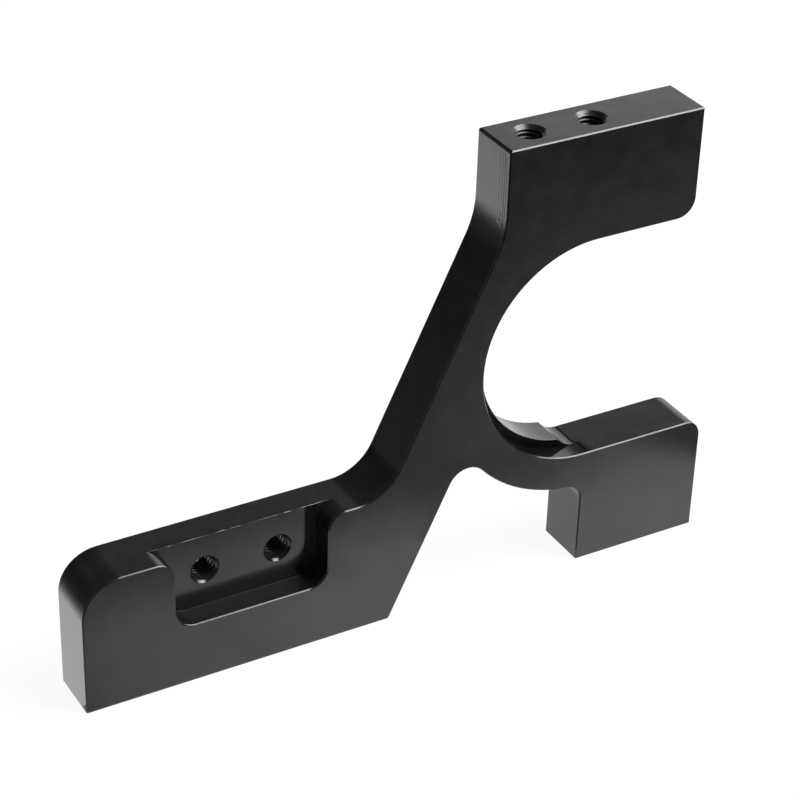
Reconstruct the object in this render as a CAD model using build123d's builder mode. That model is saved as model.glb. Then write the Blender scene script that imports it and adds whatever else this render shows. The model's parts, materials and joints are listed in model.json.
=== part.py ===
from build123d import *
import math
import os

# A support bracket, milled in one piece from a plate of aluminium.
# It stands on a foot and a pad. A leaning strut carries a head, an arm curls under a slot
# that opens to the right, and the slot's round end has a stepped seat.
# Sizes are in millimetres and angles in degrees.
# X runs along the foot to the pad, Y from the front face to the back, and Z up.
# The origin is the middle of the bracket's box, on the plane that it stands on.

# Plate
plate_thickness = 16.0
edge_break = 0.35               # small chamfer along the sharp edges

# Slot, with a half round end
slot_radius = 33.7
slot_floor_height = 36.05       # standing plane to the slot's lower wall
slot_centre_from_head = 29.4    # head's left face to the slot's centre

# Head above the slot
head_length = 60.0
head_height = 31.85             # slot to the top face
head_corner_radius = 5.5        # at the slot's mouth

# Arm that curls under the slot
arm_width = 10.35
arm_strut_radius = 6.0          # where the arm leaves the strut
arm_pad_radius = 5.0            # where the arm meets the pad

# Pad below the slot's mouth
pad_from_head = 29.7            # head's left face to the pad's left face
pad_length = 40.0
pad_corner_radius = 5.5         # at the slot's mouth

# Foot, whose right end is the strut's right side at the standing plane
foot_length = 89.7
foot_height = 40.1
foot_corner_radius = 11.0

# Strut between the foot and the head, which leaves the arm's width of wall left of the slot
strut_lean = 25.1               # from upright
strut_width = 18.6
strut_foot_radius = 14.0
strut_head_radius = 27.0

# Seat at the back of the slot's round end
lip_height = 2.7
lip_setback = 5.6               # front face to the lip
lip_end = 5.0                   # slot's centre to the lip's end, along X
lip_end_slope = 45.0
lip_corner_radius = 0.6
lip_root_radius = 6.5           # where the lip's end runs out on the slot's wall

# Pocket in the front of the foot
pocket_from_strut = 19.2        # foot's right end to the pocket's right wall
pocket_width = 44.4
pocket_floor_height = 18.25
pocket_depth = 7.0
pocket_corner_radius = 5.5
pocket_mouth_radius = 5.5
pocket_edge_break = 0.1         # along the top of the pocket's back

# Tapped holes
thread_diameter = 8.0
thread_pitch = 1.25
pocket_hole_spacing = 21.4
pocket_hole_height = 29.4
pocket_mouth_diameter = 8.1
head_hole_from_left = 10.6
head_hole_spacing = 18.8
head_hole_depth = 20.0
head_mouth_diameter = 8.8
mouth_angle = 90.0
drill_point_angle = 118.0

# Places that follow from the sizes, with X taken from the head's left face
slot_top_height = slot_floor_height + 2 * slot_radius
head_top = slot_top_height + head_height
slot_centre = Vector(slot_centre_from_head, slot_floor_height + slot_radius)
pad_right = pad_from_head + pad_length
right_end = max(head_length, pad_right)
arm_radius = slot_radius + arm_width
thread_bore_radius = (thread_diameter - thread_pitch) / 2
touching = 0.001                # edges nearer than this to a plane lie on it

# Strut's direction, and how far left of the slot's centre its two sides lie
strut_up = Vector(0, 1).rotate(Axis.Z, -strut_lean)
strut_across = strut_up.rotate(Axis.Z, 90)
strut_left = arm_radius
strut_right = arm_radius - strut_width


def strut_side(distance, height):
    """Point at this height on the side of the strut that lies this far left of the slot's centre."""
    start = slot_centre + strut_across * distance
    return start + strut_up * ((height - start.Y) / strut_up.Y)


foot_right = strut_side(strut_right, 0).X
foot_left = foot_right - foot_length
strut_foot = strut_side(strut_left, foot_height)
strut_head = strut_foot - strut_up * (strut_foot.X / strut_up.X)
box_middle = (foot_left + right_end) / 2

front = Plane(origin=(-box_middle, -plate_thickness / 2, 0), x_dir=(1, 0, 0), z_dir=(0, -1, 0))
back = front.offset(-plate_thickness)
seat = front.offset(-lip_setback)
pocket_wall = front.offset(-pocket_depth)
top = Plane(origin=(-box_middle, 0, head_top))

# Arm's outer arc, from the pad's left face round to the strut's right side
pad_left_offset = pad_from_head - slot_centre.X
arm_at_pad = slot_centre + (pad_left_offset, -math.sqrt(arm_radius**2 - pad_left_offset**2))
arm_along_strut = math.sqrt(arm_radius**2 - strut_right**2)
arm_at_strut = slot_centre + strut_across * strut_right - strut_up * arm_along_strut
arm_towards = (arm_at_pad - slot_centre) + (arm_at_strut - slot_centre)
arm_middle = slot_centre + arm_towards.normalized() * arm_radius

# Lip's ends, taken from the slot's centre: each slopes down from a corner, and a root arc
# joins it to the slot's flat wall. The lip is bedded in the walls, half way into the arm.
lip_radius = slot_radius - lip_height
bed_radius = slot_radius + arm_width / 2
lip_corner = Vector(-lip_end, math.sqrt(lip_radius**2 - lip_end**2))
slope = Vector(1, 0).rotate(Axis.Z, lip_end_slope)
slope_foot = lip_corner + slope * ((slot_radius - lip_corner.Y) / slope.Y)
root_tangent = lip_root_radius * math.tan(math.radians(lip_end_slope / 2))
root_start = slope_foot - slope * root_tangent
root_end = slope_foot + Vector(root_tangent, 0)
root_centre = root_end - Vector(0, lip_root_radius)
root_middle = root_centre + Vector(0, lip_root_radius).rotate(Axis.Z, lip_end_slope / 2)
bed_end = Vector(root_end.X + lip_height, slot_radius)


def lip_place(point, side):
    """Places a point of the lip's upper end, and for side -1 of its lower end."""
    return slot_centre + (point.X, side * point.Y)


def corner(shape, point):
    """The corner of a flat shape that lies at this point."""
    return shape.vertices().sort_by_distance(point)[0]


def across(part, plane, point):
    """The edge through the plate that starts nearest to this point of the plane."""
    place = plane.from_local_coords(point)
    return part.edges().filter_by(Axis.Y).sort_by_distance(place)[0]


def edges_on(part, plane):
    """The edges that lie on this upright plane, from the shortest to the longest."""
    upright = part.edges().filter_by(Plane.XZ).sort_by(SortBy.LENGTH)
    return [edge for edge in upright if abs(edge.center().Y - plane.origin.Y) < touching]


with BuildPart() as bracket:
    # Plate, cut to the outline with the plain slot
    with BuildSketch(front) as outline:
        with BuildLine():
            Polyline(
                arm_at_strut,
                (foot_right, 0),
                (foot_left, 0),
                (foot_left, foot_height),
                strut_foot,
                strut_head,
                (0, head_top),
                (head_length, head_top),
                (head_length, slot_top_height),
                (slot_centre.X, slot_top_height),
            )
            CenterArc(slot_centre, slot_radius, 90, 180)
            Polyline(
                (slot_centre.X, slot_floor_height),
                (pad_right, slot_floor_height),
                (pad_right, 0),
                (pad_from_head, 0),
                arm_at_pad,
            )
            ThreePointArc(arm_at_pad, arm_middle, arm_at_strut)
        make_face()
        fillet(corner(outline, (foot_left, foot_height)), foot_corner_radius)
        fillet(corner(outline, strut_foot), strut_foot_radius)
        fillet(corner(outline, strut_head), strut_head_radius)
        fillet(corner(outline, (head_length, slot_top_height)), head_corner_radius)
        fillet(corner(outline, (pad_right, slot_floor_height)), pad_corner_radius)
        fillet(corner(outline, arm_at_pad), arm_pad_radius)
        fillet(corner(outline, arm_at_strut), arm_strut_radius)
    extrude(amount=-plate_thickness)

    # Lip of the stepped seat, a part of a ring whose ends slope down to the slot's walls
    with BuildSketch(seat) as lip:
        with BuildLine():
            lower_corner, upper_corner = (lip_place(lip_corner, side) for side in (-1, 1))
            ThreePointArc(lower_corner, slot_centre - (lip_radius, 0), upper_corner)
            CenterArc(slot_centre, bed_radius, 90, 180)
            for side in (-1, 1):
                Line(lip_place(lip_corner, side), lip_place(root_start, side))
                ThreePointArc(
                    *(lip_place(point, side) for point in (root_start, root_middle, root_end))
                )
                Polyline(
                    lip_place(root_end, side),
                    lip_place(bed_end, side),
                    lip_place(Vector(bed_end.X, bed_radius), side),
                    lip_place(Vector(0, bed_radius), side),
                )
        make_face()
    extrude(amount=lip_setback - plate_thickness)
    for side in (-1, 1):
        fillet(across(bracket, seat, lip_place(lip_corner, side)), lip_corner_radius)

    # Pocket, open at the front and at the top of the foot
    pocket_right = foot_right - pocket_from_strut
    pocket_left = pocket_right - pocket_width
    pocket_middle = (pocket_left + pocket_right) / 2
    with BuildSketch(front) as pocket:
        with Locations((pocket_middle, pocket_floor_height)):
            Rectangle(pocket_width, foot_height, align=(Align.CENTER, Align.MIN))
        fillet(corner(pocket, (pocket_left, pocket_floor_height)), pocket_corner_radius)
        fillet(corner(pocket, (pocket_right, pocket_floor_height)), pocket_corner_radius)
    extrude(amount=-pocket_depth, mode=Mode.SUBTRACT)
    for pocket_side in (pocket_left, pocket_right):
        fillet(across(bracket, front, (pocket_side, foot_height)), pocket_mouth_radius)
    wall_middle = pocket_wall.from_local_coords((pocket_middle, foot_height))
    chamfer(bracket.edges().filter_by(Axis.X).sort_by_distance(wall_middle)[0], pocket_edge_break)

    # Broken edges: all round the front and the back, and at the square corners between them
    faces = edges_on(bracket, front) + edges_on(bracket, back)
    corners = [
        across(bracket, front, point)
        for point in (
            (foot_left, 0),
            (foot_right, 0),
            (pad_from_head, 0),
            (pad_right, 0),
            (0, head_top),
            (head_length, head_top),
        )
    ]
    chamfer(faces + corners, edge_break)

    # Tapped holes through the pocket's wall, countersunk on both sides
    hole_middle = (pocket_middle, pocket_hole_height)
    wall_side = Plane(pocket_wall.from_local_coords(hole_middle), x_dir=(1, 0, 0), z_dir=(0, -1, 0))
    back_side = Plane(back.from_local_coords(hole_middle), x_dir=(1, 0, 0), z_dir=(0, 1, 0))
    with Locations(wall_side, back_side):
        with GridLocations(pocket_hole_spacing, 0, 2, 1):
            CounterSinkHole(
                radius=thread_bore_radius,
                counter_sink_radius=pocket_mouth_diameter / 2,
                depth=plate_thickness - pocket_depth,
                counter_sink_angle=mouth_angle,
            )

    # Tapped holes in the head's top, blind, each with the drill's point at its end
    drill_point = thread_bore_radius / math.tan(math.radians(drill_point_angle / 2))
    head_holes = Plane(top.from_local_coords((head_hole_from_left + head_hole_spacing / 2, 0)))
    with Locations(head_holes):
        with GridLocations(head_hole_spacing, 0, 2, 1):
            CounterSinkHole(
                radius=thread_bore_radius,
                counter_sink_radius=head_mouth_diameter / 2,
                depth=head_hole_depth,
                counter_sink_angle=mouth_angle,
            )
            with Locations((0, 0, -head_hole_depth)):
                Cone(
                    bottom_radius=0,
                    top_radius=thread_bore_radius,
                    height=drill_point,
                    align=(Align.CENTER, Align.CENTER, Align.MAX),
                    mode=Mode.SUBTRACT,
                )

bracket.part.label = "milled_bracket"
os.makedirs("parts", exist_ok=True)
export_step(bracket.part, "parts/milled_bracket.step")
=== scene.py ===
import json
import math

import bpy
from mathutils import Matrix, Vector


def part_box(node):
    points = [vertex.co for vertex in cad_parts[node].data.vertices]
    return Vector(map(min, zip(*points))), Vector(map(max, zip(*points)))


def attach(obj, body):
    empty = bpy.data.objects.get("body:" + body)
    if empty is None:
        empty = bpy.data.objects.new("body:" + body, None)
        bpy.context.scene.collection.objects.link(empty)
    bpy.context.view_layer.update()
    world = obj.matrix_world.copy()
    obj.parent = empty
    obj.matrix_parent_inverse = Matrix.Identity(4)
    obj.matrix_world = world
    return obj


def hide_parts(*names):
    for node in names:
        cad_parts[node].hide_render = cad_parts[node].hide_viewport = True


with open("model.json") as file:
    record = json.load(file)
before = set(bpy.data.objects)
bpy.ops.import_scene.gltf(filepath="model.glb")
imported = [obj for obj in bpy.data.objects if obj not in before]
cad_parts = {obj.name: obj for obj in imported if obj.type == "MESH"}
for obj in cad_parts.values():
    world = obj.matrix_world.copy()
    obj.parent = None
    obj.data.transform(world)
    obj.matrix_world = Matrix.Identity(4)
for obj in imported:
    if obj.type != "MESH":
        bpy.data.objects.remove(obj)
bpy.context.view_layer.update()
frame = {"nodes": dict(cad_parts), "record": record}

bl_info = {
    "name": "Milled bracket",
    "version": (1, 0, 0),
    "blender": (4, 5, 0),
    "location": "View3D > Sidebar > Bracket",
    "description": "Dresses a black anodised support bracket and sets up the studio around it",
    "category": "Object",
}

MM = 0.001
BODY = "bracket_body"
NODE = "milled_bracket"
POCKET_HOLES = ("pocket_thread_left", "pocket_thread_right")
HEAD_HOLES = ("head_thread_left", "head_thread_right")

# Sizes of the solid that the dressing has to meet
HEAD_HOLE_FROM_LEFT = 10.6 * MM
SLOT_CENTRE_FROM_LEFT = 29.4 * MM
SLOT_CENTRE_HEIGHT = 69.75 * MM
SLOT_FLOOR = 36.05 * MM
LIP_SETBACK = 5.6 * MM
LIP_RADIUS = 31.0 * MM
FOOT_TOP = 40.1 * MM
POCKET_SETBACK = 7 * MM
POCKET_MOUTH_HEIGHT = 34.6 * MM     # where the pocket's sides start to round outwards
WALL_TOP_BREAK = 0.1 * MM
BROKEN_EDGE_DEPTH = 0.4 * MM        # the broken edges lie this near to the front or the back

# How near to its place on the solid a point has to be
NEAR = 0.01 * MM
POCKET_SIDE_MARGIN = 0.1 * MM
LIP_RIM_MARGIN = 0.3 * MM

# Parts of the bracket in millimetres, each as the low and the high corner of a box
POCKET_BOX = ((-69.4, -7.5, 18.1), (-24.8, -0.9, 40.05))
POCKET_FLOOR_BOX = ((-69.4, -7.9, 18.1), (-34.5, -0.9, 19.0))
POCKET_RIGHT_BOX = ((-31.4, -7.6, 18.3), (-20.0, -1.01, 40.0))
LEDGE_BOX = ((20.0, -7.6, 34.0), (58.0, -2.3, 62.0))
HEAD_MOUTHS_BOX = ((31.4, -4.9, 133.8), (60.0, 4.9, 135.22))
HEAD_THREADS_BOX = ((31.4, -4.9, 118.0), (60.0, 4.9, 134.1))
CUTTER_LINES_BOX = ((25.4, -9, 116), (26.1, -2.7, 133))
CUTTER_SPECKS_BOX = ((22.0, -5.4, 113.4), (26.1, -3.8, 116.4))

# Tools that cut the holes
TAP_STEPS = 48                      # flats in a turn of the tap
TAP_OVERRUN = 1.5 * MM              # how far the tap starts above a mouth
REAMER_OVERRUN = 0.5 * MM
DRILL_TIP = 1e-4                    # radius of the point's last ring, as a share of the bore's

# White floor and plain light
FLOOR_DIFFUSE = 0.12                # share of the floor's white that shadows can darken
FLOOR_LIGHT = 0.7                   # brightness of that share where nothing shades it
WORLD_LIGHT = 0.4


class ThreadSizes(bpy.types.PropertyGroup):
    """Sizes of the tapped holes' threads and mouths."""

    pitch: bpy.props.FloatProperty(
        name="Pitch", description="From one turn to the next",
        default=1.25 * MM, unit="LENGTH", precision=5)
    bore_radius: bpy.props.FloatProperty(
        name="Bore radius", description="Radius at the threads' crests",
        default=3.39 * MM, unit="LENGTH", precision=5)
    pocket_radii: bpy.props.FloatVectorProperty(
        name="Pocket groove radii", description="Radii of the pocket grooves' profile, outwards",
        default=(3.2 * MM, 3.98 * MM), unit="LENGTH", size=2, precision=5)
    pocket_widths: bpy.props.FloatVectorProperty(
        name="Pocket groove widths", description="Widths of the pocket grooves at those radii",
        default=(1.06 * MM, 0.16 * MM), unit="LENGTH", size=2, precision=5)
    head_radii: bpy.props.FloatVectorProperty(
        name="Head groove radii", description="Radii of the head grooves' profile, outwards",
        default=(3.3 * MM, 3.66 * MM, 4.05 * MM), unit="LENGTH", size=3, precision=5)
    head_widths: bpy.props.FloatVectorProperty(
        name="Head groove widths", description="Widths of the head grooves at those radii",
        default=(1.22 * MM, 0.5 * MM, 0.16 * MM), unit="LENGTH", size=3, precision=5)
    pocket_mouth_radius: bpy.props.FloatProperty(
        name="Pocket mouth radius", description="Radius of the countersinks in the pocket's wall",
        default=4.2 * MM, unit="LENGTH", precision=5)
    head_mouth_radius: bpy.props.FloatProperty(
        name="Head mouth radius", description="Radius of the countersinks in the head's top",
        default=4.6 * MM, unit="LENGTH", precision=5)
    pocket_mouth_angle: bpy.props.FloatProperty(
        name="Pocket mouth angle", description="Full angle of the pocket's countersinks",
        default=math.radians(90), subtype="ANGLE")
    head_mouth_angle: bpy.props.FloatProperty(
        name="Head mouth angle", description="Full angle of the countersinks in the head's top",
        default=math.radians(100), subtype="ANGLE")
    head_thread_turn: bpy.props.FloatProperty(
        name="Head thread start", description="Where round the left hole the head's threads start",
        default=4.2, subtype="ANGLE")
    head_thread_step: bpy.props.FloatProperty(
        name="Head thread step", description="How much further round the right thread starts",
        default=1.1, subtype="ANGLE")
    pocket_depth: bpy.props.FloatProperty(
        name="Pocket hole depth", description="Thickness of the wall with the pocket's holes",
        default=9 * MM, unit="LENGTH", precision=5)
    head_depth: bpy.props.FloatProperty(
        name="Head hole depth", description="Depth of the head's holes without the drill's point",
        default=20 * MM, unit="LENGTH", precision=5)
    head_thread_depth: bpy.props.FloatProperty(
        name="Head thread depth", description="Depth down to which the head's holes are tapped",
        default=16.5 * MM, unit="LENGTH", precision=5)
    point_angle: bpy.props.FloatProperty(
        name="Drill point", description="Full angle of the drill's point",
        default=math.radians(118), subtype="ANGLE")
    sides: bpy.props.IntProperty(
        name="Sides", description="Number of flats round a bore", default=72, min=12)


class EdgeSizes(bpy.types.PropertyGroup):
    """Small roundings and cuts that the solid leaves out."""

    border_radius: bpy.props.FloatProperty(
        name="Border", description="Rounding of the borders of the broken edges",
        default=0.07 * MM, unit="LENGTH", precision=5)
    lip_rim_radius: bpy.props.FloatProperty(
        name="Lip's rim", description="Rounding along the front of the seat's lip",
        default=0.22 * MM, unit="LENGTH", precision=5)
    head_corner_chamfer: bpy.props.FloatProperty(
        name="Head corner", description="Chamfer between the head's left face and its top",
        default=0.7 * MM, unit="LENGTH", precision=5)
    wall_top_chamfer: bpy.props.FloatProperty(
        name="Pocket wall's top",
        description="Widest part of the uneven chamfer on top of the pocket's wall",
        default=0.1 * MM, unit="LENGTH", precision=5)
    witness_radius: bpy.props.FloatProperty(
        name="Witness line", description="Radius of the fine groove across the slot's floor",
        default=0.3 * MM, unit="LENGTH", precision=5)
    pocket_foot_radius: bpy.props.FloatProperty(
        name="Pocket foot",
        description="Rounding where the pocket's back wall meets its floor and sides",
        default=0.22 * MM, unit="LENGTH", precision=5)


class FinishLook(bpy.types.PropertyGroup):
    """The black anodised finish."""

    colour: bpy.props.FloatVectorProperty(
        name="Colour", description="Colour of the dyed film",
        default=(0.0115, 0.0115, 0.012), subtype="COLOR", size=3, min=0, max=1)
    roughness: bpy.props.FloatProperty(
        name="Roughness", description="Mean roughness of the film", default=0.2, subtype="FACTOR")
    ior: bpy.props.FloatProperty(
        name="IOR", description="Index of refraction of the anodic film", default=1.65)
    # Painted shade: a darker colour and a lower IOR for the faces that look darkest
    painted_shade_colour: bpy.props.FloatVectorProperty(
        name="Painted shade colour", description="Colour of the film on the faces that look darkest",
        default=(0.0085, 0.0085, 0.0088), subtype="COLOR", size=3, min=0, max=1, precision=4)
    painted_shade_ior: bpy.props.FloatProperty(
        name="Painted shade IOR", description="Index of refraction on the faces that look darkest",
        default=1.22)


class StageSetup(bpy.types.PropertyGroup):
    """Camera, floor and light."""

    camera_azimuth: bpy.props.FloatProperty(
        name="Azimuth", description="Camera's angle round the bracket, from straight in front",
        default=math.radians(-30.4947), subtype="ANGLE")
    camera_elevation: bpy.props.FloatProperty(
        name="Elevation", description="Camera's angle above the floor",
        default=math.radians(31.7495), subtype="ANGLE")
    camera_roll: bpy.props.FloatProperty(
        name="Roll", description="Camera's turn about its own axis",
        default=math.radians(1.86475), subtype="ANGLE")
    camera_distance: bpy.props.FloatProperty(
        name="Distance", description="Camera to the point that it looks at",
        default=636.183 * MM, unit="LENGTH")
    camera_target: bpy.props.FloatVectorProperty(
        name="Target", description="Point that the camera looks at",
        default=(-4.340 * MM, -8 * MM, 70.372 * MM), subtype="TRANSLATION", size=3, precision=5)
    lens: bpy.props.FloatProperty(
        name="Lens", description="Focal length for a sensor 36 mm wide", default=110.08)
    floor_size: bpy.props.FloatProperty(
        name="Floor", description="Length of the floor's sides", default=8.0, unit="LENGTH")
    softbox_radiance: bpy.props.FloatProperty(
        name="Softbox", description="Brightness of the softbox's face", default=9.2)


class BracketSettings(bpy.types.PropertyGroup):
    """All the settings, kept on the scene."""

    thread: bpy.props.PointerProperty(type=ThreadSizes)
    edges: bpy.props.PointerProperty(type=EdgeSizes)
    finish: bpy.props.PointerProperty(type=FinishLook)
    stage: bpy.props.PointerProperty(type=StageSetup)


def settings():
    return bpy.context.scene.bracket_settings


def deselect_all():
    if bpy.context.mode != "OBJECT":
        bpy.ops.object.mode_set(mode="OBJECT")
    bpy.ops.object.select_all(action="DESELECT")


def activate(piece):
    deselect_all()
    piece.select_set(True)
    bpy.context.view_layer.objects.active = piece


def apply_modifiers(piece):
    activate(piece)
    for modifier in list(piece.modifiers):
        bpy.ops.object.modifier_apply(modifier=modifier.name)


def fix_normals(piece):
    """Turns every face of a closed mesh outwards."""
    activate(piece)
    bpy.ops.object.mode_set(mode="EDIT")
    bpy.ops.mesh.select_all(action="SELECT")
    bpy.ops.mesh.remove_doubles(threshold=1e-7)
    bpy.ops.mesh.normals_make_consistent(inside=False)
    bpy.ops.object.mode_set(mode="OBJECT")


def cut(piece, tool):
    """Cuts a tool's shape out of a piece and removes the tool."""
    boolean = piece.modifiers.new("Cut", "BOOLEAN")
    boolean.operation = "DIFFERENCE"
    boolean.solver = "EXACT"
    boolean.object = tool
    apply_modifiers(piece)
    bpy.data.objects.remove(tool)


def select_edges(piece, wanted):
    """Goes into edit mode with the edges selected whose indices are given."""
    activate(piece)
    bpy.ops.object.mode_set(mode="EDIT")
    bpy.ops.mesh.select_mode(type="EDGE")
    bpy.ops.mesh.select_all(action="DESELECT")
    bpy.ops.object.mode_set(mode="OBJECT")
    for edge in piece.data.edges:
        edge.select = edge.index in wanted
    bpy.ops.object.mode_set(mode="EDIT")


def leave_edges():
    """Goes back from edge selection to object mode."""
    bpy.ops.mesh.select_mode(type="VERT")
    bpy.ops.object.mode_set(mode="OBJECT")


def edge_ends(mesh, edge):
    return [mesh.vertices[index].co for index in edge.vertices]


def creases(mesh):
    """For each edge between two faces: its index, its two ends and the angle between the faces."""
    faces = {}
    for polygon in mesh.polygons:
        for key in polygon.edge_keys:
            faces.setdefault(key, []).append(polygon.normal)
    for edge in mesh.edges:
        normals = faces.get(tuple(sorted(edge.vertices)), [])
        if len(normals) == 2:
            angle = math.degrees(normals[0].angle(normals[1], 0))
            yield edge.index, edge_ends(mesh, edge), angle


def hole_place(hole):
    """Where a tapped hole's mouth is and which way it opens, from the record and the node's box."""
    low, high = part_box(NODE)
    x, y, z = next(m["pos_m"] for m in frame["record"]["mounts"] if m["name"] == hole)
    if hole in POCKET_HOLES:
        return Vector((x, low.y + POCKET_SETBACK, z)), Vector((0, -1, 0))
    return Vector((x, y, high.z)), Vector((0, 0, 1))


def hole_matrix(hole):
    """Stands a tool on a hole's mouth, with the tool's Z pointing out of the hole."""
    mouth, out = hole_place(hole)
    return Matrix.Translation(mouth) @ out.to_track_quat("Z", "Y").to_matrix().to_4x4()


def head_left():
    """X of the head's left face."""
    mouth, _ = hole_place(HEAD_HOLES[0])
    return mouth.x - HEAD_HOLE_FROM_LEFT


def ring_down(step, radius_from, radius_to):
    """In edit mode, extrudes the selected ring downwards and scales it to a new radius."""
    bpy.ops.mesh.extrude_region_move(TRANSFORM_OT_translate={"value": (0, 0, -step)})
    scale = radius_to / radius_from
    bpy.ops.transform.resize(value=(scale, scale, 1), center_override=(0, 0, 0))


def make_reamer(bore, mouth, mouth_angle, depth, sides, point_angle=None):
    """A tool that opens a hole to its bore and countersinks it.

    Its lower end is a drill's point if that angle is given, and a second countersink if not.
    """
    steep = 1 / math.tan(mouth_angle / 2)
    top = REAMER_OVERRUN * steep
    widest = mouth + REAMER_OVERRUN
    deselect_all()
    bpy.ops.mesh.primitive_circle_add(
        vertices=sides, radius=widest, fill_type="NGON", location=(0, 0, top))
    tool = bpy.context.object
    bpy.ops.object.transform_apply(location=True, rotation=False, scale=False)
    bpy.ops.object.mode_set(mode="EDIT")
    bpy.ops.mesh.select_all(action="SELECT")
    sink = (mouth - bore) * steep
    ring_down(top + sink, widest, bore)
    if point_angle:
        ring_down(depth - sink, bore, bore)
        ring_down(bore / math.tan(point_angle / 2), bore, DRILL_TIP * bore)
        bpy.ops.mesh.merge(type="CENTER")
    else:
        ring_down(depth - 2 * sink, bore, bore)
        ring_down(top + sink, bore, widest)
    bpy.ops.object.mode_set(mode="OBJECT")
    fix_normals(tool)
    return tool


def make_tap(pitch, profile, end):
    """A coil that cuts the thread's groove, from above the mouth down to a height.

    Its section is given outwards, as radii with the groove's width at each.
    """
    deselect_all()
    (inner, inner_width), (outer, outer_width) = profile[:2]
    middle = (inner + outer) / 2
    bpy.ops.mesh.primitive_plane_add(
        size=1, location=(middle, 0, end), rotation=(math.pi / 2, 0, 0))
    tap = bpy.context.object
    tap.scale = (outer - inner, inner_width, 1)
    bpy.ops.object.transform_apply(location=True, rotation=True, scale=True)
    bpy.ops.object.mode_set(mode="EDIT")
    bpy.ops.mesh.select_all(action="DESELECT")
    bpy.ops.object.mode_set(mode="OBJECT")
    for vertex in tap.data.vertices:
        vertex.select = vertex.co.x > middle
    bpy.ops.object.mode_set(mode="EDIT")
    bpy.ops.transform.resize(
        value=(1, 1, outer_width / inner_width), center_override=(0, 0, end))
    for (near, near_width), (far, far_width) in zip(profile[1:], profile[2:]):
        bpy.ops.mesh.extrude_region_move(TRANSFORM_OT_translate={"value": (far - near, 0, 0)})
        bpy.ops.transform.resize(value=(1, 1, far_width / near_width), center_override=(0, 0, end))
    bpy.ops.mesh.select_all(action="SELECT")
    bpy.ops.mesh.dissolve_limited(angle_limit=math.radians(1))
    bpy.ops.object.mode_set(mode="OBJECT")
    screw = tap.modifiers.new("Thread", "SCREW")
    screw.axis = "Z"
    screw.angle = 2 * math.pi
    screw.screw_offset = pitch
    screw.iterations = math.ceil((TAP_OVERRUN - end) / pitch)
    screw.steps = screw.render_steps = TAP_STEPS
    screw.use_smooth_shade = False
    apply_modifiers(tap)
    bpy.ops.object.mode_set(mode="EDIT")
    bpy.ops.mesh.select_all(action="SELECT")
    bpy.ops.mesh.fill_holes(sides=0)
    bpy.ops.object.mode_set(mode="OBJECT")
    fix_normals(tap)
    return tap


def soften_edges(body, sizes):
    """Rounds the broken edges' borders, the foot of the pocket's back wall and the lip's rim."""
    low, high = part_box(NODE)
    wall = low.y + POCKET_SETBACK
    side_top = POCKET_MOUTH_HEIGHT + POCKET_SIDE_MARGIN
    ledge = low.y + LIP_SETBACK
    centre = (head_left() + SLOT_CENTRE_FROM_LEFT, SLOT_CENTRE_HEIGHT)

    def on_border(point):
        return abs(point.y) > high.y - BROKEN_EDGE_DEPTH

    def on_pocket_foot(point):
        return abs(point.y - wall) < NEAR and point.z < side_top

    def on_lip_rim(point):
        from_centre = math.dist((point.x, point.z), centre)
        return abs(point.y - ledge) < NEAR and from_centre < LIP_RADIUS + LIP_RIM_MARGIN

    oblique, square = (30, 60), (80, 100)
    for (least, most), rule, radius, segments in (
        (oblique, on_border, sizes.border_radius, 2),
        (square, on_pocket_foot, sizes.pocket_foot_radius, 2),
        (square, on_lip_rim, sizes.lip_rim_radius, 3),
    ):
        wanted = {index for index, ends, angle in creases(body.data)
                  if least < angle < most and all(rule(end) for end in ends)}
        select_edges(body, wanted)
        bpy.ops.mesh.bevel(offset=radius, segments=segments, profile=0.5, affect="EDGES",
                           clamp_overlap=False)
        leave_edges()


def cut_head_corner(body, leg):
    """Cuts the larger chamfer between the head's left face and its top."""
    _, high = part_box(NODE)
    side = 4 * MM
    deselect_all()
    bpy.ops.mesh.primitive_cube_add(size=side, rotation=(0, math.radians(45), 0))
    wedge = bpy.context.object
    wedge.scale.y = 10
    out = Vector((-1, 0, 1)).normalized()
    wedge.location = Vector((head_left() + leg / 2, 0, high.z - leg / 2)) + out * (side / 2)
    bpy.ops.object.transform_apply(location=True, rotation=True, scale=True)
    cut(body, wedge)


def ripple(x, rate, sway, sway_rate):
    """Wave from 0 to 1 whose pace sways, so that it doesn't look regular. X is in millimetres."""
    return 0.5 + 0.5 * math.sin(rate * x + sway * math.sin(sway_rate * x))


def wear_wall_top(body, widest):
    """Makes the fine chamfer on top of the pocket's wall uneven, as a burr that was brushed off."""
    low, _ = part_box(NODE)
    wall = low.y + POCKET_SETBACK
    tolerance, long, cuts, least = 0.02 * MM, 10 * MM, 120, 0.06
    mesh = body.data

    def on_lower(point):
        below = point.z - FOOT_TOP + WALL_TOP_BREAK
        return abs(point.y - wall) < tolerance and abs(below) < tolerance

    def on_upper(point):
        behind = point.y - wall - WALL_TOP_BREAK
        return abs(behind) < tolerance and abs(point.z - FOOT_TOP) < tolerance

    for rule in (on_lower, on_upper):
        wanted = set()
        for edge in mesh.edges:
            start, end = edge_ends(mesh, edge)
            if rule(start) and rule(end) and (start - end).length > long:
                wanted.add(edge.index)
        select_edges(body, wanted)
        bpy.ops.mesh.subdivide(number_cuts=cuts)
        leave_edges()
    for vertex in mesh.vertices:
        lower, upper = on_lower(vertex.co), on_upper(vertex.co)
        if not (lower or upper):
            continue
        x = vertex.co.x / MM
        coarse, fine = ripple(x, 0.9, 1.7, 0.37), ripple(x, 5.1, 2.3, 2.2)
        width = widest * max(least, coarse * (0.25 + 0.75 * fine))
        if lower:
            vertex.co.z = FOOT_TOP - width
        else:
            vertex.co.y = wall + width


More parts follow.
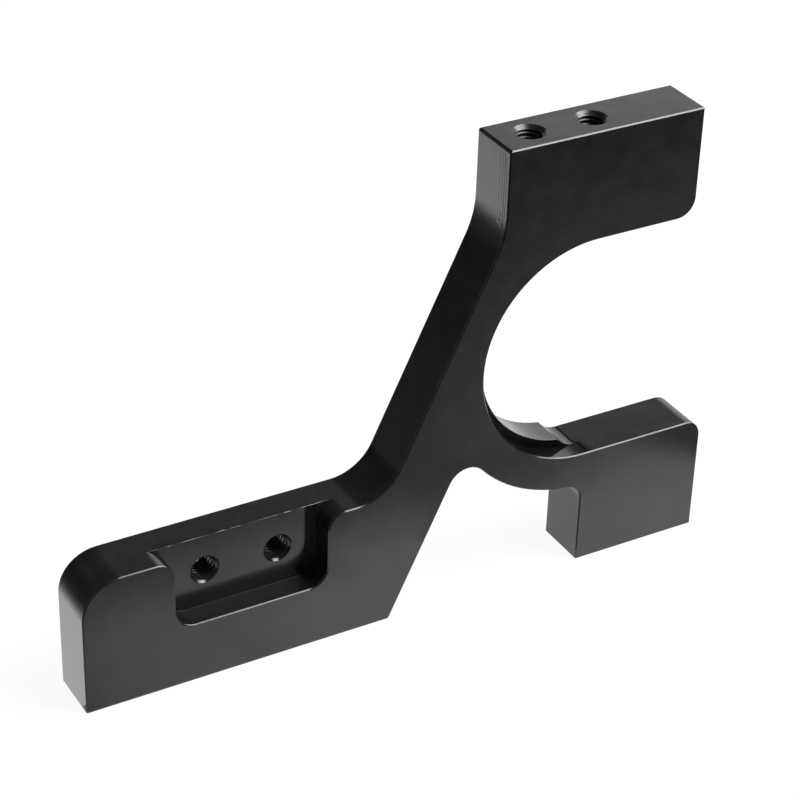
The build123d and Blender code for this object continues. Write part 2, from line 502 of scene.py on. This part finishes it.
def cut_witness_line(body, radius):
    """The fine groove that the cutter left across the slot's floor, with a small jog in it."""
    low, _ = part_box(NODE)
    left = head_left()
    route = [(30.2, 16.5), (30.2, 6.9), (31.2, 5.8), (31.2, 0.85)]
    sink = 0.02 * MM
    line = bpy.data.curves.new("witness", "CURVE")
    line.dimensions = "3D"
    line.bevel_depth = radius
    line.bevel_resolution = 1
    line.use_fill_caps = True
    run = line.splines.new("POLY")
    run.points.add(len(route) - 1)
    for point, (x, y) in zip(run.points, route):
        point.co = (left + x * MM, low.y + y * MM, SLOT_FLOOR - sink, 1)
    tool = bpy.data.objects.new("witness", line)
    bpy.context.scene.collection.objects.link(tool)
    activate(tool)
    bpy.ops.object.convert(target="MESH")
    tool = bpy.context.object
    fix_normals(tool)
    cut(body, tool)


class BRACKET_OT_make_body(bpy.types.Operator):
    """Make the bracket's body from the solid, with cleaner faces and finer edges"""

    bl_idname = "bracket.make_body"
    bl_label = "Make the body"

    def execute(self, context):
        source = frame["nodes"][NODE]
        body = bpy.data.objects.new(BODY, source.data.copy())
        context.scene.collection.objects.link(body)
        activate(body)
        bpy.ops.object.mode_set(mode="EDIT")
        bpy.ops.mesh.select_all(action="SELECT")
        bpy.ops.mesh.remove_doubles(threshold=2e-6)
        bpy.ops.mesh.dissolve_limited(angle_limit=math.radians(0.2))
        bpy.ops.mesh.customdata_custom_splitnormals_clear()
        bpy.ops.object.mode_set(mode="OBJECT")
        sizes = settings().edges
        cut_head_corner(body, sizes.head_corner_chamfer)
        soften_edges(body, sizes)
        wear_wall_top(body, sizes.wall_top_chamfer)
        cut_witness_line(body, sizes.witness_radius)
        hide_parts(NODE)
        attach(body, "root")
        return {"FINISHED"}


class BRACKET_OT_tap_holes(bpy.types.Operator):
    """Ream, countersink and tap the four threaded holes"""

    bl_idname = "bracket.tap_holes"
    bl_label = "Tap the holes"

    def execute(self, context):
        sizes = settings().thread
        body = bpy.data.objects[BODY]
        for hole in POCKET_HOLES + HEAD_HOLES:
            if hole in POCKET_HOLES:
                turn = 0.0
                reamer = make_reamer(
                    sizes.bore_radius, sizes.pocket_mouth_radius, sizes.pocket_mouth_angle,
                    sizes.pocket_depth, sizes.sides)
                profile = list(zip(sizes.pocket_radii, sizes.pocket_widths))
                tap = make_tap(sizes.pitch, profile, -sizes.pocket_depth - TAP_OVERRUN)
            else:
                turn = sizes.head_thread_turn + HEAD_HOLES.index(hole) * sizes.head_thread_step
                reamer = make_reamer(
                    sizes.bore_radius, sizes.head_mouth_radius, sizes.head_mouth_angle,
                    sizes.head_depth, sizes.sides, sizes.point_angle)
                profile = list(zip(sizes.head_radii, sizes.head_widths))
                tap = make_tap(sizes.pitch, profile, -sizes.head_thread_depth)
            for tool in (reamer, tap):
                tool.matrix_world = hole_matrix(hole) @ Matrix.Rotation(turn, 4, "Z")
                context.view_layer.update()
                cut(body, tool)
        return {"FINISHED"}


class BRACKET_OT_shade_body(bpy.types.Operator):
    """Shade the body smooth with crisp edges"""

    bl_idname = "bracket.shade_body"
    bl_label = "Shade the body"

    def execute(self, context):
        body = bpy.data.objects[BODY]
        activate(body)
        bpy.ops.object.shade_smooth_by_angle(angle=math.radians(35))
        weighted = body.modifiers.new("Weighted normals", "WEIGHTED_NORMAL")
        weighted.mode = "FACE_AREA"
        weighted.keep_sharp = True
        apply_modifiers(body)
        return {"FINISHED"}


def new_material(name):
    material = bpy.data.materials.new(name)
    material.use_nodes = True
    material.node_tree.nodes.clear()
    return material


def add(tree, kind, **values):
    """Adds a shader node. Values named after a socket go to that input, others to the node."""
    node = tree.nodes.new(kind)
    for name, value in values.items():
        socket = name.replace("_", " ")
        if socket in node.inputs:
            node.inputs[socket].default_value = value
        else:
            setattr(node, name, value)
    return node


def texture(tree, place, kind, **values):
    """Adds a texture node that is read at these coordinates."""
    node = add(tree, kind, **values)
    tree.links.new(place, node.inputs["Vector"])
    return node


def combine(tree, operation, first, second):
    """Socket of a calculation on two others."""
    node = add(tree, "ShaderNodeMath", operation=operation)
    tree.links.new(first, node.inputs[0])
    tree.links.new(second, node.inputs[1])
    return node.outputs["Value"]


def vector_step(tree, operation, vector, constant=None):
    """Node of a calculation on a vector, with a constant vector where it needs one."""
    node = add(tree, "ShaderNodeVectorMath", operation=operation)
    tree.links.new(vector, node.inputs[0])
    if constant is not None:
        node.inputs[1].default_value = constant
    return node


def map_range(tree, value, low, high, start=0.0, end=1.0):
    """Socket that turns the range from start to end into the range from low to high."""
    node = add(tree, "ShaderNodeMapRange", From_Min=start, From_Max=end, To_Min=low, To_Max=high)
    tree.links.new(value, node.inputs["Value"])
    return node.outputs["Result"]


def graded(tree, value, stops):
    """Socket that follows stops, which are pairs of a place from 0 to 1 and a level."""
    ramp = add(tree, "ShaderNodeValToRGB")
    elements = ramp.color_ramp.elements
    for index, (at, level) in enumerate(stops):
        stop = elements[index] if index < 2 else elements.new(at)
        stop.position = at
        stop.color = (level, level, level, 1)
    tree.links.new(value, ramp.inputs["Fac"])
    return ramp.outputs["Color"]


def box_mask(tree, place, box, soft):
    """Socket that is 1 inside a box and falls to 0 over a soft border. Sizes in millimetres."""
    low, high = (Vector(corner) * MM for corner in box)
    centred = vector_step(tree, "SUBTRACT", place, (low + high) / 2)
    size = vector_step(tree, "ABSOLUTE", centred.outputs["Vector"])
    past = vector_step(tree, "SUBTRACT", size.outputs["Vector"], (high - low) / 2)
    axes = add(tree, "ShaderNodeSeparateXYZ")
    tree.links.new(past.outputs["Vector"], axes.inputs[0])
    most = combine(tree, "MAXIMUM", axes.outputs["X"], axes.outputs["Y"])
    most = combine(tree, "MAXIMUM", most, axes.outputs["Z"])
    return map_range(tree, most, 1.0, 0.0, end=soft * MM)


def bump(tree, height, distance, strength=1.0, under=None):
    """Normal socket of a bump that is this high, on top of another bump."""
    node = add(tree, "ShaderNodeBump", Strength=strength, Distance=distance)
    tree.links.new(height, node.inputs["Height"])
    if under:
        tree.links.new(under, node.inputs["Normal"])
    return node.outputs["Normal"]


def cutter_marks(tree, place):
    """Height of the fine lines and specks that the cutter left on the head's left face."""
    axes = add(tree, "ShaderNodeSeparateXYZ")
    tree.links.new(place, axes.inputs[0])
    depth = map_range(tree, axes.outputs["Y"], 0.0, 1.0, start=-7.6 * MM, end=-2.6 * MM)
    lines = graded(tree, depth, [
        (0.0, 0.0), (0.14, 0.0), (0.18, 0.8), (0.22, 0.15), (0.29, 0.3), (0.33, 1.0), (0.38, 0.1),
        (0.52, 0.0), (0.55, 0.5), (0.59, 0.05), (0.78, 0.0), (0.81, 0.35), (0.85, 0.0)])
    lines = combine(tree, "MULTIPLY", lines, box_mask(tree, place, CUTTER_LINES_BOX, 1.6))
    cells = texture(tree, place, "ShaderNodeTexVoronoi", Scale=1200.0)
    specks = combine(tree, "MULTIPLY", map_range(tree, cells.outputs["Distance"], 0.3, -0.6),
                     box_mask(tree, place, CUTTER_SPECKS_BOX, 0.7))
    return combine(tree, "ADD", lines, specks)


def anodised_finish(name, look, painted_shade=False):
    """Dyed anodic film on milled aluminium, or its darker copy: painted shade for the darkest
    faces.
    """
    material = new_material(name)
    tree = material.node_tree
    link = tree.links.new
    output = add(tree, "ShaderNodeOutputMaterial")
    ior = look.painted_shade_ior if painted_shade else look.ior
    film = add(tree, "ShaderNodeBsdfPrincipled", Metallic=0.0, IOR=ior)
    link(film.outputs["BSDF"], output.inputs["Surface"])
    place = add(tree, "ShaderNodeTexCoord").outputs["Object"]
    noise = "ShaderNodeTexNoise"
    mottle = texture(tree, place, noise, Scale=900.0, Detail=4.0, Roughness=0.6).outputs["Fac"]
    clouds = texture(tree, place, noise, Scale=160.0, Detail=3.0, Roughness=0.6).outputs["Fac"]
    pocket = box_mask(tree, place, POCKET_BOX, 0.3)
    ledge = box_mask(tree, place, LEDGE_BOX, 0.3)

    def scaled(value, mask, least, most):
        return combine(tree, "MULTIPLY", value, map_range(tree, mask, least, most))

    # The dye is uneven at random, and the colour is darkened in the pocket and on the ledge as
    # painted shade
    recess = combine(tree, "MAXIMUM", pocket, ledge)
    shade = scaled(map_range(tree, mottle, 0.8, 1.2), recess, 1.0, 0.58)
    shade = scaled(shade, clouds, 0.3, 1.7)
    dye = add(tree, "ShaderNodeMix", data_type="RGBA", blend_type="MULTIPLY")
    dye.inputs["Factor"].default_value = 1.0
    dye.inputs["A"].default_value = (*(look.painted_shade_colour if painted_shade else look.colour), 1)
    link(shade, dye.inputs["B"])
    link(dye.outputs["Result"], film.inputs["Base Color"])

    # The recesses are shinier, and the pocket's foot and the head's holes are rougher
    matt = map_range(tree, mottle, look.roughness * 0.85, look.roughness * 1.2)
    matt = scaled(matt, pocket, 1.0, 2.0 if painted_shade else 0.55)
    if not painted_shade:
        pocket_foot = box_mask(tree, place, POCKET_FLOOR_BOX, 8.0)
        matt = scaled(matt, combine(tree, "MULTIPLY", pocket, pocket_foot), 1.0, 2.7)
    matt = scaled(matt, ledge, 1.0, 0.55)
    matt = scaled(matt, box_mask(tree, place, HEAD_MOUTHS_BOX, 0.05), 1.0, 1.6)
    matt = scaled(matt, box_mask(tree, place, HEAD_THREADS_BOX, 0.05), 1.0, 1.9)
    link(matt, film.inputs["Roughness"])

    # The face is slightly wavy and grained, and the cutter's marks show through
    waves = texture(tree, place, noise, Scale=140.0, Detail=1.0).outputs["Fac"]
    grain = texture(tree, place, noise, Scale=6000.0, Detail=2.0).outputs["Fac"]
    normal = bump(tree, waves, 0.00004)
    normal = bump(tree, cutter_marks(tree, place), -0.00008, under=normal)
    normal = bump(tree, grain, 0.00001, strength=0.15, under=normal)
    link(normal, film.inputs["Normal"])
    return material


class BRACKET_OT_finish_body(bpy.types.Operator):
    """Give the body its black anodised finish"""

    bl_idname = "bracket.finish_body"
    bl_label = "Finish the body"

    def execute(self, context):
        body = bpy.data.objects[BODY]
        look = settings().finish
        body.data.materials.clear()
        body.data.materials.append(anodised_finish("anodised_black", look))
        body.data.materials.append(anodised_finish("anodised_black_painted_shade", look, painted_shade=True))
        # The pocket's right wall and the ledge's front get the darker copy of the film, as painted
        # shade
        low, high = (Vector(corner) * MM for corner in POCKET_RIGHT_BOX)
        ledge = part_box(NODE)[0].y + LIP_SETBACK
        for face in body.data.polygons:
            in_box = all(a < b < c for a, b, c in zip(low, face.center, high))
            faces_left = -0.3 if face.center.z < POCKET_MOUTH_HEIGHT else -0.75
            on_right_wall = in_box and face.normal.x < faces_left
            on_ledge = face.normal.y < -0.9 and abs(face.center.y - ledge) < NEAR
            face.material_index = 1 if on_right_wall or on_ledge else 0
        return {"FINISHED"}


def seen_white(tree):
    """Socket that is 1 for camera, glossy and transmission rays, and 0 for the rest."""
    path = add(tree, "ShaderNodeLightPath").outputs
    either = combine(tree, "MAXIMUM", path["Is Camera Ray"], path["Is Glossy Ray"])
    return combine(tree, "MAXIMUM", either, path["Is Transmission Ray"])


def mix_shaders(tree, share, first, second, output):
    """Sends a mix of two shader nodes to the output's surface."""
    mix = add(tree, "ShaderNodeMixShader")
    tree.links.new(share, mix.inputs["Fac"])
    tree.links.new(first.outputs[0], mix.inputs[1])
    tree.links.new(second.outputs[0], mix.inputs[2])
    tree.links.new(mix.outputs[0], output.inputs["Surface"])


def white_surface(name):
    """White to the camera and in reflections, and a plain diffuse white to the rest."""
    material = new_material(name)
    tree = material.node_tree
    output = add(tree, "ShaderNodeOutputMaterial")
    plain = add(tree, "ShaderNodeBsdfDiffuse", Color=(0.8, 0.8, 0.8, 1))
    shadowed = add(tree, "ShaderNodeBsdfDiffuse", Color=(FLOOR_DIFFUSE,) * 3 + (1,))
    glow = add(tree, "ShaderNodeEmission", Strength=1.0 - FLOOR_LIGHT * FLOOR_DIFFUSE)
    both = add(tree, "ShaderNodeAddShader")
    tree.links.new(shadowed.outputs[0], both.inputs[0])
    tree.links.new(glow.outputs[0], both.inputs[1])
    mix_shaders(tree, seen_white(tree), plain, both, output)
    return material


def direction(azimuth, elevation):
    """Unit vector towards an azimuth in degrees, where 0 is straight back along Y and 90 is X."""
    a, e = math.radians(azimuth), math.radians(elevation)
    return Vector((math.sin(a) * math.cos(e), math.cos(a) * math.cos(e), math.sin(e)))


def card_surface(name, along, start, end, stops, glow):
    """A surface that is clear at level 0 and opaque at level 1, graded along a direction."""
    material = new_material(name)
    tree = material.node_tree
    output = add(tree, "ShaderNodeOutputMaterial")
    place = add(tree, "ShaderNodeTexCoord").outputs["Object"]
    reach = vector_step(tree, "DOT_PRODUCT", place, Vector(along).normalized()).outputs["Value"]
    opaque = graded(tree, map_range(tree, reach, 0.0, 1.0, start, end), stops)
    clear = add(tree, "ShaderNodeBsdfTransparent")
    face = add(tree, "ShaderNodeEmission", Strength=glow)
    mix_shaders(tree, opaque, clear, face, output)
    return material


def make_card(name, size, location, rotation, along, start, end, stops, glow=0.0):
    """A flat card that only reflections see, a painted reflection: black, or white where it glows.
    """
    deselect_all()
    bpy.ops.mesh.primitive_plane_add(size=1, location=location, rotation=rotation)
    card = bpy.context.object
    card.name = name
    card.scale = (*size, 1)
    bpy.ops.object.transform_apply(location=True, rotation=True, scale=True)
    card.data.materials.append(card_surface(name, along, start, end, stops, glow))
    card.visible_camera = False
    card.visible_diffuse = False
    card.visible_transmission = False
    card.visible_volume_scatter = False
    card.visible_shadow = False


def floor_card(name, low, high, level, along, start, end, stops, glow=0.0):
    """A card that lies just above the floor between two corners."""
    size = (high[0] - low[0], high[1] - low[1])
    middle = ((low[0] + high[0]) / 2, (low[1] + high[1]) / 2, level)
    make_card(name, size, middle, (0, 0, 0), along, start, end, stops, glow)


def standing_card(name, azimuth, distance, size, along, start, end, stops):
    """A card that stands on the floor and faces the bracket."""
    foot = direction(azimuth, 0) * distance
    make_card(name, size, (foot.x, foot.y, size[1] / 2),
              (math.pi / 2, 0, math.radians(180 - azimuth)), along, start, end, stops)


def place_cards():
    """The cards that paint the reflections: black ones paint dark reflections, glowing ones bright.

    Each is graded along a direction, between two distances from the origin in metres. Its stops
    are pairs of the share of the way and how opaque the card is there.
    """
    # Every card is a painted reflection; the glowing ones light nothing and only show in
    # reflections
    floor_card("left_reflector", (-0.4, -0.005), (-0.04, 0.5), 0.0004, (-1, 0, 0), 0.05, 0.09,
               [(0.0, 0.0), (1.0, 1.0)], glow=1.45)
    floor_card("left_flag", (-2.5, -0.005), (-0.08, 3.5), 0.0008, (-0.998, -0.068, 0),
               0.108, 0.328,
               [(0.0, 0.0), (0.03, 0.1), (0.07, 0.27), (0.1, 0.43), (0.14, 0.66), (0.25, 0.88),
                (0.53, 0.96), (1.0, 0.99)])
    floor_card("front_flag", (-1.2, -2.5), (2.0, -0.02), 0.0004, (0, -1, 0), 0.02, 0.32,
               [(0.0, 0.0), (0.05, 0.03), (0.075, 0.18), (0.1, 0.42), (0.117, 0.58), (0.14, 0.7),
                (0.18, 0.66), (0.22, 0.6), (0.35, 0.73), (0.55, 0.84), (0.6, 0.88),
                (0.66, 0.97), (1.0, 1.0)])
    floor_card("arm_flag", (0.03, -0.062), (0.1, -0.036), 0.001, (1, 0, 0), 0.07, 0.095,
               [(0.0, 0.32), (1.0, 0.0)])
    floor_card("front_reflector", (0.05, -0.03), (0.125, -0.005), 0.0006, (1, 0, 0), 0.06, 0.12,
               [(0.0, 0.0), (0.2, 0.1), (0.4, 0.8), (0.6, 0.8), (1.0, 0.1)], glow=1.15)
    floor_card("pocket_flag", (-0.05, -0.06), (-0.004, -0.03), 0.0006, (1, 0, 0), -0.048, -0.036,
               [(0.0, 0.0), (1.0, 0.2)])
    floor_card("lip_reflector", (0.12, 0.1), (0.3, 0.26), 0.0006, (1, 0, 0), 0.12, 0.16,
               [(0.0, 0.0), (1.0, 1.0)], glow=1.25)
    floor_card("near_left_flag", (-2.0, -0.062), (-0.02, -0.005), 0.0008, (-1, 0, 0), 0.02, 0.14,
               [(0.0, 0.0), (0.1, 0.08), (0.2, 0.2), (0.4, 0.2), (0.45, 0.25), (0.54, 0.36),
                (0.62, 0.48), (0.85, 0.72), (1.0, 0.8)])
    floor_card("gap_flag", (0.021, -0.04), (0.053, -0.009), 0.001, (1, 0, 0), 0.021, 0.03,
               [(0.0, 0.3), (1.0, 0.78)])
    floor_card("left_front_flag", (-2.0, -2.5), (0.4, -0.062), 0.0012, (-0.755, -0.655, 0),
               0.0, 0.07, [(0.0, 0.0), (0.26, 0.33), (0.54, 0.7), (1.0, 1.0)])
    floor_card("right_flag", (0.06, -0.058), (2.5, 0.3), 0.0016, (0.843, -0.542, 0),
               0.105, 0.205,
               [(0.0, 0.0), (0.05, 0.0), (0.1, 0.22), (0.125, 0.5), (0.17, 0.95), (0.24, 0.8),
                (0.4, 0.7), (0.8, 0.86), (1.0, 0.95)])
    standing_card("back_flag", -27, 3.0, (6.6, 3.4), direction(63, 0), 0.0, 0.35,
                  [(0.0, 1.0), (1.0, 0.0)])
    standing_card("right_side_flag", 84, 2.0, (1.7, 0.6), (0, 0, 1), 0.45, 0.6,
                  [(0.0, 0.97), (1.0, 0.0)])
    standing_card("front_right_flag", 130, 2.0, (2.6, 2.6), (0, 0, 1), 2.3, 2.6,
                  [(0.0, 0.97), (1.0, 0.0)])
    standing_card("camera_flag", 206, 2.5, (5.6, 4.6), (0, 0, 1), 4.0, 4.6,
                  [(0.0, 0.97), (1.0, 0.0)])
    away = direction(30, 0)
    middle = away * 2.6
    make_card("top_flag", (9.0, 8.4), (middle.x, middle.y, 3.0), (0, 0, math.radians(-30)),
              away, 4.0, 6.8,
              [(0.0, 1.0), (0.046, 0.98), (0.1, 0.96), (0.164, 0.93), (0.27, 0.88), (0.34, 0.84),
               (0.45, 0.7), (0.586, 0.48), (0.66, 0.3), (0.72, 0.16), (0.8, 0.1), (1.0, 0.04)])


def hang_softbox(radiance):
    """The soft light that draws the bright lines on the front's upper edges."""
    width, height, distance = 1.46, 0.8, 1.5
    lower_right, lower_left = direction(104, 19.5), direction(157, 43.3)
    across = (lower_left - lower_right).normalized()
    towards = (lower_left + lower_right).normalized()
    up = across.cross(towards).normalized()
    middle = towards * distance + up * (height / 2)
    back = middle.normalized()
    upright = across.cross(back).normalized()
    side = upright.cross(back).normalized()
    data = bpy.data.lights.new("softbox", "AREA")
    data.shape = "RECTANGLE"
    data.size = width
    data.size_y = height
    data.energy = radiance * math.pi * width * height
    lamp = bpy.data.objects.new("softbox", data)
    bpy.context.scene.collection.objects.link(lamp)
    turn = Matrix((side, upright, back)).transposed().to_4x4()
    lamp.matrix_world = Matrix.Translation(middle) @ turn
    lamp.visible_camera = False


def make_world():
    """White to the camera and in reflections, and a plain soft light to the rest."""
    world = bpy.data.worlds.new("studio")
    bpy.context.scene.world = world
    world.use_nodes = True
    tree = world.node_tree
    tree.nodes.clear()
    output = add(tree, "ShaderNodeOutputWorld")
    soft = add(tree, "ShaderNodeBackground", Color=(1, 1, 1, 1), Strength=WORLD_LIGHT)
    white = add(tree, "ShaderNodeBackground", Color=(1, 1, 1, 1), Strength=1.0)
    mix_shaders(tree, seen_white(tree), soft, white, output)


def place_camera(setup):
    """The camera at the photograph's angle."""
    data = bpy.data.cameras.new("camera")
    data.sensor_width = 36.0
    data.lens = setup.lens
    camera = bpy.data.objects.new("camera", data)
    bpy.context.scene.collection.objects.link(camera)
    azimuth, elevation = math.degrees(setup.camera_azimuth), math.degrees(setup.camera_elevation)
    out = direction(180 - azimuth, elevation)
    place = Vector(setup.camera_target) + out * setup.camera_distance
    turn = out.to_track_quat("Z", "Y").to_matrix().to_4x4()
    roll = Matrix.Rotation(setup.camera_roll, 4, "Z")
    camera.matrix_world = Matrix.Translation(place) @ turn @ roll
    bpy.context.scene.camera = camera


class BRACKET_OT_set_stage(bpy.types.Operator):
    """Set up the floor, the cards, the light and the camera"""

    bl_idname = "bracket.set_stage"
    bl_label = "Set the stage"

    def execute(self, context):
        setup = settings().stage
        deselect_all()
        bpy.ops.mesh.primitive_plane_add(size=setup.floor_size, location=(0, 0, 0))
        floor = bpy.context.object
        floor.name = "floor"
        floor.data.materials.append(white_surface("white_floor"))
        place_cards()
        hang_softbox(setup.softbox_radiance)
        make_world()
        place_camera(setup)
        context.scene.view_settings.view_transform = "Standard"
        return {"FINISHED"}


class BRACKET_PT_sidebar(bpy.types.Panel):
    """Steps that dress the bracket, with their settings"""

    bl_idname = "BRACKET_PT_sidebar"
    bl_label = "Milled bracket"
    bl_space_type = "VIEW_3D"
    bl_region_type = "UI"
    bl_category = "Bracket"

    def draw(self, context):
        for operator in STEPS:
            self.layout.operator(operator.bl_idname)
        sizes = context.scene.bracket_settings
        for group in (sizes.thread, sizes.edges, sizes.finish, sizes.stage):
            box = self.layout.box()
            for name in group.bl_rna.properties.keys():
                if name not in ("rna_type", "name"):
                    box.prop(group, name)


STEPS = (BRACKET_OT_set_stage, BRACKET_OT_make_body, BRACKET_OT_tap_holes, BRACKET_OT_shade_body,
         BRACKET_OT_finish_body)
SETTINGS = (ThreadSizes, EdgeSizes, FinishLook, StageSetup, BracketSettings)
CLASSES = SETTINGS + STEPS + (BRACKET_PT_sidebar,)


def register():
    for cls in CLASSES:
        bpy.utils.register_class(cls)
    bpy.types.Scene.bracket_settings = bpy.props.PointerProperty(type=BracketSettings)


def unregister():
    del bpy.types.Scene.bracket_settings
    for cls in reversed(CLASSES):
        bpy.utils.unregister_class(cls)


def main():
    register()
    bpy.ops.bracket.set_stage()
    bpy.ops.bracket.make_body()
    bpy.ops.bracket.tap_holes()
    bpy.ops.bracket.shade_body()
    bpy.ops.bracket.finish_body()


if __name__ == "__main__":
    main()
